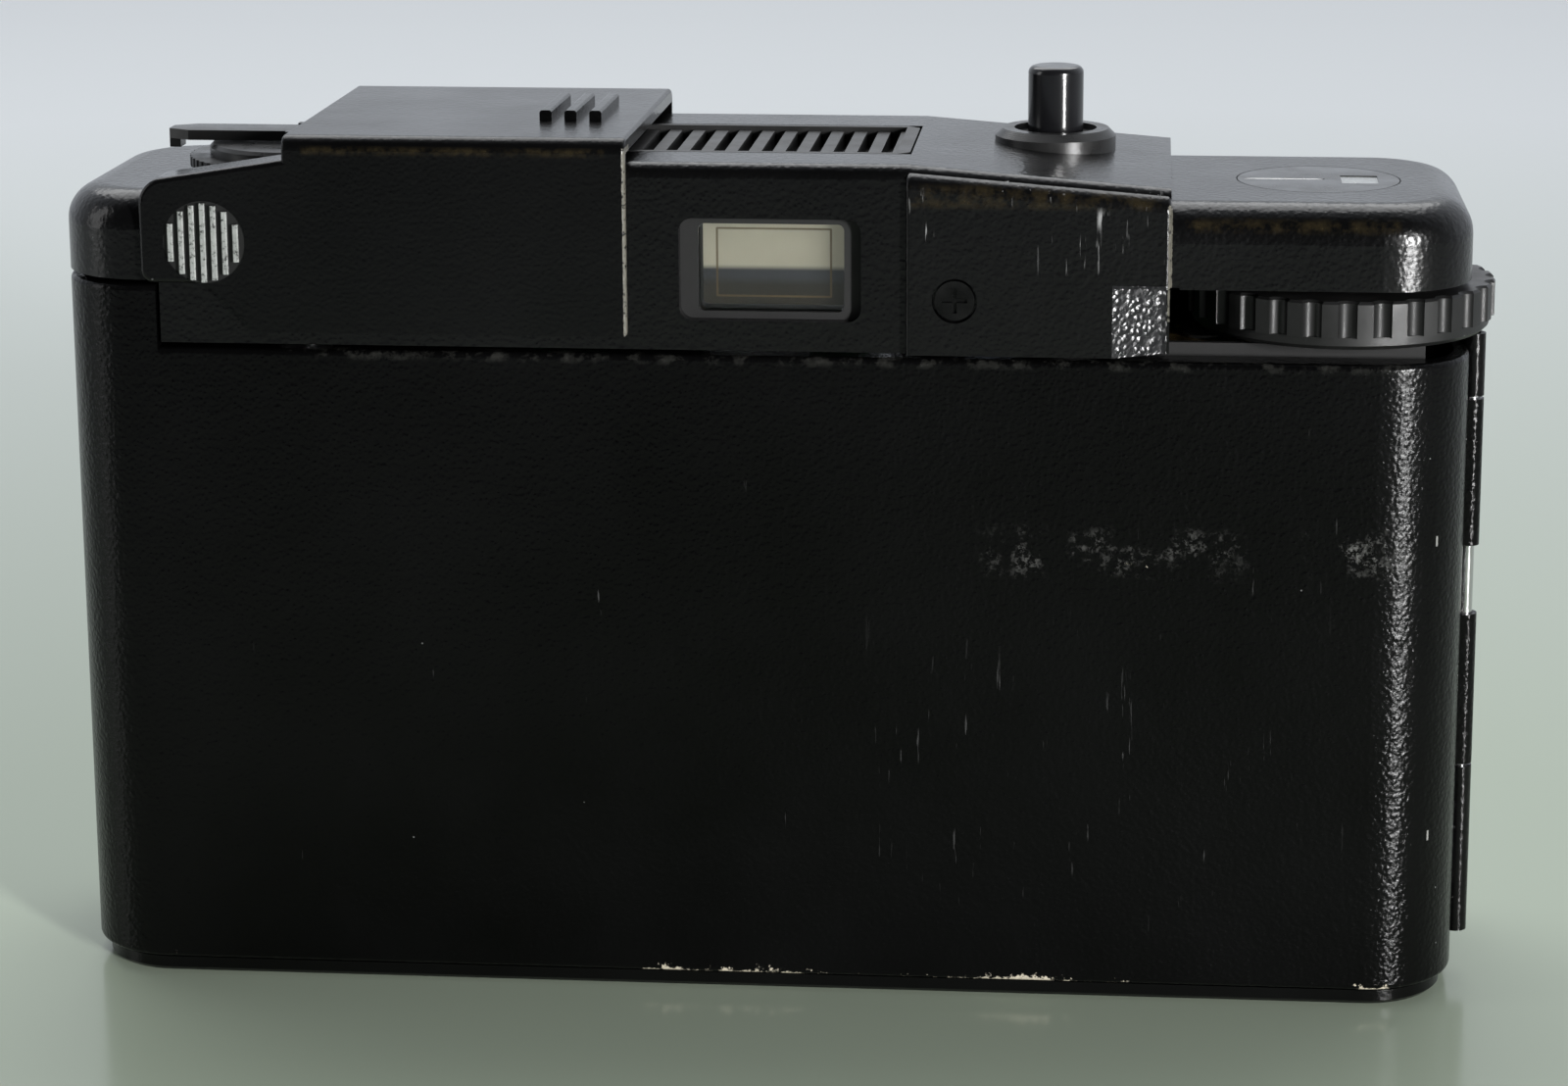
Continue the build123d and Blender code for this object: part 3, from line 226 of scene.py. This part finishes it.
def door_paint():
    f = satin_paint("door_paint", 2400.0, 0.036, 0.14)
    low_edge = f.zone(None, (-18, -15.5), (1.2, 2.6), 0.7)
    spots = f.math("ADD", f.zone((-13, 6), None, None, 3.0), f.zone((22, 32), None, None, 2.5))
    spots = f.math("ADD", spots, f.zone((59, 63), None, None, 1.5))
    spots = f.math("ADD", f.math("MULTIPLY", spots, 0.8), f.ramp(f.noise(70.0), 0.48, 0.7, 0.1, 0.7))
    chips(f, f.math("MULTIPLY", low_edge, spots), 0.5, 1100.0)
    top_edge = f.zone((-45, 64), (-19, -15.5), (63.6, 64.6), 0.3)
    rubbed_edge = f.math("MULTIPLY", top_edge, f.ramp(f.noise(420.0, 4.0, 0.7), 0.5, 0.66))
    f.color = f.mix(f.math("MULTIPLY", rubbed_edge, 0.3), f.color, (0.05, 0.05, 0.045))
    # Pale rubbed patches on the right half of the door.
    patches = f.math("ADD", f.zone((23, 46), (-19, -16), (44.5, 46.6), 1.8),
                     f.zone((54, 62), (-19, -15), (44.8, 47.4), 1.6), clamp=True)
    cloud = f.ramp(f.noise(190.0, 4.0, 0.65), 0.47, 0.62)
    speck = f.ramp(f.noise(1500.0, 4.0, 0.75), 0.5, 0.62)
    rubbed = f.math("MULTIPLY", f.math("MULTIPLY", cloud, speck), patches)
    f.color = f.mix(f.math("MULTIPLY", rubbed, 0.34), f.color, (0.42, 0.42, 0.40))
    chips(f, f.math("MULTIPLY", f.zone((35, 41), (-19, -16), (43.9, 45.0), 0.6), 0.8), 0.60, 800.0)
    scratches(f, f.zone((13, 52), (-19, -16), (12, 34), 8.0), (0, 28, 0), 170.0, 0.68, 0.2)
    scratches(f, f.zone((-50, 50), (-19, -16), (5, 60), 6.0), (0, -12, 0), 120.0, 0.74, 0.16)
    scratches(f, f.zone((20, 60), (-19, -16), (36, 60), 6.0), (0, 70, 0), 140.0, 0.72, 0.2)
    for z in (17.2, 46.8):
        mark = f.zone((65.4, 65.55), (-16.5, -8), (z - 0.5, z + 0.5), 0.05)
        f.color = f.mix(f.math("MULTIPLY", mark, 0.5), f.color, (0.4, 0.4, 0.38))
    return finish_paint(f)


def top_paint():
    f = satin_paint("top_cover_paint", 2300.0, 0.024, 0.32)
    rest = f.zone((34.2, 39.3), (-19, -14), (64.9, 71.9), 0.05)
    coarse = f.cells(1500.0)
    f.raise_by(f.math("MULTIPLY", f.ramp(coarse.outputs["Distance"], 0.0, 0.6, 1.0, 0.0), rest), 0.10)
    f.color = f.mix(f.math("MULTIPLY", rest, 0.8), f.color, (0.011, 0.011, 0.012))
    step = f.zone((39.35, 39.8), (-19, -15), (68, 79.6), 0.08)
    chips(f, step, 0.47, 1300.0, (0.09, 0.085, 0.07))
    brassing(f, f.zone((15, 39), (-18.4, -17.2), (79.2, 81.2), 0.3), 0.6)
    brassing(f, f.zone((41, 61), (-17.4, -15.6), (77.0, 78.0), 0.3), 0.6)
    scratches(f, f.zone((15, 39), (-19, -16.2), (76, 82), 0.6), (0, 86, 0), 140.0, 0.66, 0.35)
    scratches(f, f.zone((28, 39), (-19, -16.2), (72, 79), 1.6), (0, 10, 0), 160.0, 0.62, 0.3)
    return finish_paint(f)


def slider_paint():
    f = satin_paint("finder_cover_paint", 2500.0, 0.014, 0.26)
    # The pale flecks along the cover's right edge at X -12 are a painted highlight of the lit edge face,
    # drawn with the chip pattern.
    chips(f, f.zone((-12.32, -11.9), (-19, -15), (66, 84.5), 0.06), 0.50, 1500.0, (0.10, 0.095, 0.08))
    brassing(f, f.zone((-43, -14), (-18.4, -17.4), (83.6, 84.3), 0.2), 0.6)
    scratches(f, f.zone((-42, -14), (-19, -17), (68, 82), 4.0), (0, 40, 0), 130.0, 0.74, 0.16)
    return finish_paint(f)


def moulding(name, low=0.006, high=0.012, rough=0.5, grain=2600.0, depth=0.006):
    """Plain black moulded plastic."""
    f = Finish(name)
    f.raise_by(f.noise(grain, 3.0), depth)
    f.raise_by(f.noise(140.0, 2.0), 0.012)
    tone = f.noise(60.0, 3.0)
    color = f.mix(tone, (low,) * 3, (high,) * 3)
    f.socket("Base Color", dust(f, color, 0.25))
    f.socket("Roughness", f.ramp(f.noise(240.0, 4.0), 0.3, 0.7, rough - 0.08, rough + 0.1))
    f.socket("Specular IOR Level", 0.4)
    return f.done()


def gloss_black(name):
    f = Finish(name)
    f.raise_by(f.noise(90.0, 2.0), 0.008)
    f.socket("Base Color", f.mix(f.noise(120.0), (0.004, 0.004, 0.0045), (0.007, 0.007, 0.008)))
    wiped = f.noise(1.0, 4.0, 0.6, f.stretch((300, 300, 60)))
    f.socket("Roughness", f.ramp(wiped, 0.35, 0.7, 0.14, 0.24))
    return f.done()


def turned_metal(name, low, high, centre, rough=0.32, metallic=1.0, across="Z"):
    """Metal turned on a lathe, with fine rings about an axis through its centre."""
    f = Finish(name)
    flat = {"Z": (0, 1), "Y": (0, 2)}[across]
    squares = []
    for index, middle in zip(flat, centre):
        off = f.math("SUBTRACT", f.axis(index), middle * MM)
        squares.append(f.math("MULTIPLY", off, off))
    radius = f.math("SQRT", f.math("ADD", *squares))
    rings = f.math("SINE", f.math("MULTIPLY", radius, 42000.0))
    f.raise_by(rings, 0.0012)
    f.raise_by(f.noise(700.0, 3.0), 0.004)
    f.socket("Base Color", f.mix(f.noise(300.0, 4.0), low, high))
    f.socket("Metallic", metallic)
    f.socket("Roughness", f.ramp(f.noise(500.0, 4.0), 0.3, 0.7, rough - 0.06, rough + 0.1))
    return f.done()


def brushed_metal(name, low, high, rough=0.3, along=(40, 1800, 1800)):
    f = Finish(name)
    grain = f.noise(1.0, 3.0, 0.6, f.stretch(along))
    f.raise_by(grain, 0.004)
    f.socket("Base Color", f.mix(grain, low, high))
    f.socket("Metallic", 1.0)
    f.socket("Roughness", f.ramp(f.noise(400.0, 3.0), 0.3, 0.7, rough - 0.08, rough + 0.1))
    return f.done()


def clear_glass(name, tint=(0.97, 0.98, 0.98), rough=0.02, coat=None):
    """Polished glass with faint wiping marks; a coat tint colours its reflections."""
    f = Finish(name)
    f.socket("Base Color", f.mix(f.noise(200.0), tint, tuple(0.96 * c for c in tint)))
    f.socket("Transmission Weight", 1.0)
    f.socket("Roughness", f.ramp(f.noise(350.0, 4.0, 0.6), 0.5, 0.8, rough, rough + 0.06))
    f.socket("IOR", 1.46)
    if coat:
        f.socket("Specular Tint", (*coat, 1.0))
        f.socket("Thin Film Thickness", 420.0)
        f.socket("Thin Film IOR", 1.33)
    return f.done()


def window_plastic():
    """Clear moulded window that has gone pale with fine wear."""
    f = Finish("counter_plastic")
    haze = f.noise(900.0, 4.0, 0.7)
    f.raise_by(haze, 0.004)
    f.socket("Base Color", f.mix(haze, (0.55, 0.57, 0.56), (0.7, 0.72, 0.7)))
    f.socket("Transmission Weight", 0.55)
    f.socket("Roughness", f.ramp(haze, 0.35, 0.7, 0.12, 0.28))
    return f.done()


def grip_finish():
    """Black grip whose ribs have pale paint on their faces."""
    f = Finish("grip_ribs")
    painted = f.ramp(f.axis(1), -18.36 * MM, -18.44 * MM)
    worn = f.ramp(f.noise(2600.0, 4.0, 0.7), 0.66, 0.52)
    f.raise_by(f.noise(2200.0, 3.0), 0.01)
    pale = f.mix(f.noise(900.0, 3.0), (0.16, 0.17, 0.16), (0.30, 0.31, 0.30))
    f.socket("Base Color", f.mix(f.math("MULTIPLY", painted, worn), (0.003,) * 3, pale))
    f.socket("Roughness", 0.48)
    return f.done()


def board_finish():
    f = Finish("board_mask")
    tracks = f.cells(260.0, "DISTANCE_TO_EDGE")
    copper = f.ramp(tracks.outputs["Distance"], 0.05, 0.03)
    f.raise_by(copper, 0.02)
    f.socket("Base Color", f.mix(copper, (0.012, 0.07, 0.03), (0.03, 0.14, 0.05)))
    f.socket("Roughness", 0.35)
    return f.done()


def pale_paint(name):
    """Off-white marking paint, slightly uneven."""
    f = Finish(name)
    f.raise_by(f.noise(1800.0, 3.0), 0.006)
    shaded = tuple(0.86 * c for c in MARK_WHITE)
    f.socket("Base Color", f.mix(f.noise(500.0, 4.0), MARK_WHITE, shaded))
    f.socket("Roughness", 0.5)
    return f.done()


def give(material, *nodes):
    """Put a finish on CAD nodes."""
    for name in nodes:
        for slot in bpy.data.objects[name].material_slots:
            slot.material = material


# Centres of turned parts in millimetres: X and Y, or X and Z for the barrels.
REWIND = (-47.5, 0.5)
COLLAR = (28.1, 5.0)
BARREL_ROW = (0, 35)
BATTERY_LID = (18.5, 3.0)

give(door_paint(), "door_shell")
give(top_paint(), "top_cover")
give(slider_paint(), "sliding_cover")
give(finish_paint(satin_paint("front_cover_paint")), "front_cover", "lens_panel")
give(finish_paint(satin_paint("base_paint", 2400.0, 0.008)), "base_plate")
inner_nodes = ("chassis", "upper_plate", "lower_plate", "cassette_well", "spool_well",
               "light_tunnels", "finder_housing", "light_sensor", "release_switch")
give(moulding("chassis_plastic", 0.002, 0.004, 0.6), *inner_nodes)
give(moulding("grille_plastic", 0.008, 0.016, 0.42), "top_grille")
give(moulding("wheel_plastic", 0.003, 0.007, 0.44), "thumbwheel", "latch_slide", "rewind_release")
give(moulding("spool_plastic", 0.01, 0.02, 0.5), "take_up_spool", "sprocket_shaft")
give(moulding("cap_plastic", 0.010, 0.016, 0.22), "counter_cap", "counter_disc")
give(moulding("bezel_plastic", 0.004, 0.008, 0.7), "lens_bezels")
give(grip_finish(), "cover_grip")
give(gloss_black("button_gloss"), "shutter_button")
give(turned_metal("collar_metal", (0.012,) * 3, (0.02,) * 3, COLLAR, 0.3, 0.3), "button_collar")
give(turned_metal("rewind_metal", (0.02,) * 3, (0.035,) * 3, REWIND, 0.3, 0.5),
     "rewind_disc", "rewind_knob")
give(turned_metal("barrel_metal", (0.012,) * 3, (0.024,) * 3, BARREL_ROW, 0.35, 0.4, "Y"),
     "lens_barrels")
give(turned_metal("battery_lid_metal", (0.02,) * 3, (0.03,) * 3, BATTERY_LID, 0.4, 0.4),
     "battery_cover")
give(moulding("crank_enamel", 0.005, 0.009, 0.3), "rewind_crank")
give(brushed_metal("pin_steel", (0.5, 0.5, 0.5), (0.72, 0.72, 0.72), 0.2, (1800, 1800, 60)), "hinge_pin")
give(brushed_metal("screw_steel", (0.012,) * 3, (0.03,) * 3, 0.3), "rear_screw")
steel_nodes = ("film_rails", "pressure_plate", "pressure_spring", "cassette_spring", "shutter_plate",
               "shutter_blade", "shutter_solenoid", "button_spring", "base_screw_set", "rewind_shaft",
               "crank_pin", "battery_cells")
give(brushed_metal("plain_steel", (0.42, 0.42, 0.43), (0.6, 0.6, 0.6), 0.3), *steel_nodes)
give(brushed_metal("gear_brass", (0.45, 0.31, 0.12), (0.62, 0.45, 0.2), 0.3),
     "wheel_gear", "idler_gear", "sprocket_gear", "counter_gear", "tripod_bush")
give(clear_glass("finder_glass"), "eyepiece_lens", "finder_objective", "finder_window")
give(window_plastic(), "counter_window")
give(clear_glass("coated_glass", (0.9, 0.92, 0.97), 0.01, (0.5, 0.42, 0.9)),
     "front_elements", "rear_elements")
give(clear_glass("sensor_glass", (0.25, 0.27, 0.3), 0.05), "sensor_window")
give(board_finish(), "circuit_board")


# ---------------------------------------------------------------- added pieces

def to_mesh(bm, name):
    mesh = bpy.data.meshes.new(name)
    bm.to_mesh(mesh)
    bm.free()
    return mesh


def add_piece(name, mesh, material, body):
    piece = bpy.data.objects.new(name, mesh)
    bpy.context.scene.collection.objects.link(piece)
    mesh.materials.append(material)
    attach(piece, body)
    return piece


def capsule_plate(name, length, width, height, place):
    """Thin plate with round ends and a softened rim."""
    bm = bmesh.new()
    outline = []
    steps = 10
    for side in (1, -1):
        for k in range(steps + 1):
            angle = side * math.pi / 2 - math.pi * k / steps
            x = side * (length - width) / 2 + width / 2 * math.cos(angle)
            outline.append((x, width / 2 * math.sin(angle)))
    rows = ((1.0, 0.0), (1.0, 0.7), (0.9, 1.0))
    rings = [[bm.verts.new((x * s, y * s, height * h)) for x, y in outline] for s, h in rows]
    for low, high in zip(rings, rings[1:]):
        for k in range(len(low)):
            j = (k + 1) % len(low)
            bm.faces.new((low[k], low[j], high[j], high[k]))
    bm.faces.new(rings[-1])
    bm.faces.new(list(reversed(rings[0])))
    bmesh.ops.recalc_face_normals(bm, faces=bm.faces)
    bm.transform(Matrix.Scale(MM, 4))
    bm.transform(Matrix.Translation(Vector(place) * MM))
    return to_mesh(bm, name)


COUNTER = (54.0, -0.3)      # X and Y of the frame counter's axis
FINDER = (1.65, 72.75)      # X and Z of the eyepiece's centre
INDEX_Z = 79.29             # underside of the index line, in its groove
COUNT_Z = 76.93             # baseline of the counter's numbers, on the disc
COUNT_RADIUS = 4.6
COUNT_PLACES = 9
FRAMES_PER_PLACE = 4
mark = pale_paint("mark_paint")
line = capsule_plate("index_line", 7.6, 0.32, 0.12, (COUNTER[0] - 3.4, COUNTER[1], INDEX_Z))
add_piece("index_line", line, mark, "camera")

for k in range(COUNT_PLACES):
    angle = 2 * math.pi * k / COUNT_PLACES
    curve = bpy.data.curves.new(f"count_{k}", "FONT")
    curve.body = str(FRAMES_PER_PLACE * k)
    curve.size = 2.0 * MM
    curve.extrude = 0.02 * MM
    curve.align_x = "CENTER"
    curve.align_y = "CENTER"
    curve.materials.append(mark)
    number = bpy.data.objects.new(f"count_{k}", curve)
    bpy.context.scene.collection.objects.link(number)
    spot = (COUNTER[0] + COUNT_RADIUS * math.cos(angle),
            COUNTER[1] + COUNT_RADIUS * math.sin(angle), COUNT_Z)
    number.matrix_world = Matrix.Translation(Vector(spot) * MM) @ Matrix.Rotation(angle, 4, "Z")
    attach(number, "counter")


def painted_finder_view():
    """Painted, glowing view at the back of the finder's optics, with its frame lines: painted light
    standing in for the scene seen through the finder.
    """
    f = Finish("finder_glowing_painted_view")
    x = f.math("ABSOLUTE", f.math("SUBTRACT", f.axis(0), FINDER[0] * MM))
    z = f.axis(2)
    tall = f.math("ABSOLUTE", f.math("SUBTRACT", z, FINDER[1] * MM))
    haze = f.noise(160.0, 3.0)
    # The beige top, blue-grey band and brown bottom are painted light: the scene beyond the finder
    # painted on as colour.
    upper = f.mix(haze, (0.48, 0.455, 0.35), (0.40, 0.385, 0.29))
    middle = f.mix(haze, (0.020, 0.023, 0.028), (0.034, 0.037, 0.042))
    lower = f.mix(haze, (0.022, 0.017, 0.008), (0.010, 0.008, 0.004))
    color = f.mix(f.ramp(z, 70.5 * MM, 71.3 * MM), lower, middle)
    color = f.mix(f.ramp(z, 72.0 * MM, 72.5 * MM), color, upper)
    side_line = f.ramp(f.math("ABSOLUTE", f.math("SUBTRACT", x, 5.5 * MM)), 0.14 * MM, 0.07 * MM)
    level_line = f.ramp(f.math("ABSOLUTE", f.math("SUBTRACT", tall, 3.3 * MM)), 0.13 * MM, 0.06 * MM)
    inside_x = f.ramp(x, 5.6 * MM, 5.5 * MM)
    inside_z = f.ramp(tall, 3.4 * MM, 3.3 * MM)
    lines = f.math("MAXIMUM", f.math("MULTIPLY", side_line, inside_z),
                   f.math("MULTIPLY", level_line, inside_x))
    color = f.mix(f.math("MULTIPLY", lines, 0.85), color, (0.09, 0.06, 0.02))
    f.raise_by(f.noise(300.0), 0.01)
    f.socket("Base Color", color)
    f.socket("Roughness", 0.4)
    # Emission makes this painted view glow, though it is no lamp.
    f.socket("Emission Color", color)
    f.socket("Emission Strength", 0.2)
    return f.done()


def rounded_pane(name, width, height, radius, place, thickness):
    """Upright pane with rounded corners, its front face towards the viewer's side."""
    bm = bmesh.new()
    outline = []
    steps = 6
    for corner in range(4):
        cx = (width / 2 - radius) * (1 if corner in (0, 3) else -1)
        cz = (height / 2 - radius) * (1 if corner in (0, 1) else -1)
        for k in range(steps + 1):
            angle = math.pi / 2 * (corner + k / steps)
            outline.append((cx + radius * math.cos(angle), cz + radius * math.sin(angle)))
    rings = [[bm.verts.new((x, y, z)) for x, z in outline] for y in (0, thickness)]
    for k in range(len(outline)):
        j = (k + 1) % len(outline)
        bm.faces.new((rings[0][k], rings[0][j], rings[1][j], rings[1][k]))
    bm.faces.new(rings[0])
    bm.faces.new(list(reversed(rings[1])))
    bmesh.ops.recalc_face_normals(bm, faces=bm.faces)
    bm.transform(Matrix.Translation(Vector(place)))
    bm.transform(Matrix.Scale(MM, 4))
    return to_mesh(bm, name)


# A pane inside the finder carries the glowing painted view of the scene beyond.
field = rounded_pane("finder_glowing_painted_view", 13.7, 8.2, 0.5, (FINDER[0], -12.4, FINDER[1]), 0.4)
add_piece("finder_glowing_painted_view", field, painted_finder_view(), "camera")


# ---------------------------------------------------------------- stage, lights and camera

def stage_finish(name):
    """Pale green glass under the object, fading to a pale grey ground further out."""
    f = Finish(name)
    x, y = f.axis(0), f.axis(1)
    away = f.math("SQRT", f.math("ADD", f.math("MULTIPLY", x, x), f.math("MULTIPLY", y, y)))
    near = f.mix(f.noise(1.2, 2.0), (0.31, 0.36, 0.28), (0.34, 0.39, 0.31))
    f.socket("Base Color", f.mix(f.ramp(away, 0.10, 0.60), near, (0.52, 0.54, 0.54)))
    f.socket("Roughness", 0.16)
    f.socket("Specular IOR Level", 0.4)
    return f.done()


def floor():
    bm = bmesh.new()
    bmesh.ops.create_circle(bm, cap_ends=True, segments=96, radius=6.0)
    mesh = to_mesh(bm, "floor")
    mesh.materials.append(stage_finish("floor_finish"))
    plane = bpy.data.objects.new("floor", mesh)
    bpy.context.scene.collection.objects.link(plane)


def area_light(name, place, size, power, spread=180.0, aim=(0, 0, 0.04)):
    data = bpy.data.lights.new(name, "AREA")
    data.spread = math.radians(spread)
    data.shape = "RECTANGLE"
    data.size, data.size_y = size
    data.energy = power
    lamp = bpy.data.objects.new(name, data)
    lamp.location = place
    lamp.rotation_euler = (Vector(aim) - Vector(place)).to_track_quat("-Z", "Y").to_euler()
    bpy.context.scene.collection.objects.link(lamp)


def room():
    """Pale room, bright beyond the object and dim on the viewer's side."""
    world = bpy.data.worlds.new("room")
    bpy.context.scene.world = world
    world.use_nodes = True
    nodes, links = world.node_tree.nodes, world.node_tree.links
    place = nodes.new("ShaderNodeTexCoord")
    split = nodes.new("ShaderNodeSeparateXYZ")
    links.new(place.outputs["Generated"], split.inputs[0])
    depth = nodes.new("ShaderNodeMapRange")
    depth.inputs["From Min"].default_value = -0.35
    depth.inputs["From Max"].default_value = 0.45
    depth.inputs["To Min"].default_value = 0.05
    depth.inputs["To Max"].default_value = 1.0
    links.new(split.outputs[1], depth.inputs["Value"])
    background = nodes["Background"]
    background.inputs["Color"].default_value = (0.72, 0.76, 0.82, 1)
    links.new(depth.outputs[0], background.inputs["Strength"])


floor()
room()
area_light("window_strip", (0.70, -0.86, 0.20), (0.10, 0.34), 2.0, 50.0)
area_light("overhead", (-0.1, 0.55, 0.9), (1.2, 0.8), 9.0)
area_light("left_fill", (-0.95, -0.25, 0.3), (0.3, 0.8), 1.6)

# The camera solved from the photograph: pixels, millimetres and degrees.
FOCAL_PX = 3796.3
FRAME_PX = 1600.0
SENSOR = 36.0
VIEW_ANGLES = (4.715, 12.051, -0.113)
VIEW_PLACE = (37.51, -362.87, 138.75)
yaw, pitch, roll = (math.radians(a) for a in VIEW_ANGLES)
ahead = Vector((-math.sin(yaw) * math.cos(pitch), math.cos(yaw) * math.cos(pitch),
                -math.sin(pitch)))
right = Vector((math.cos(yaw), math.sin(yaw), 0))
up = right.cross(ahead)
turned_right = right * math.cos(roll) + up * math.sin(roll)
turned_up = up * math.cos(roll) - right * math.sin(roll)
lens = bpy.data.cameras.new("view")
lens.sensor_width = SENSOR
lens.lens = FOCAL_PX / FRAME_PX * SENSOR
lens.shift_x = -0.04
lens.shift_y = -0.12
lens.clip_start = 0.01
viewer = bpy.data.objects.new("view", lens)
bpy.context.scene.collection.objects.link(viewer)
axes = Matrix((turned_right, turned_up, -ahead)).transposed()
viewer.matrix_world = Matrix.Translation(Vector(VIEW_PLACE) * MM) @ axes.to_4x4()
bpy.context.scene.camera = viewer
bpy.context.scene.view_settings.view_transform = "Standard"
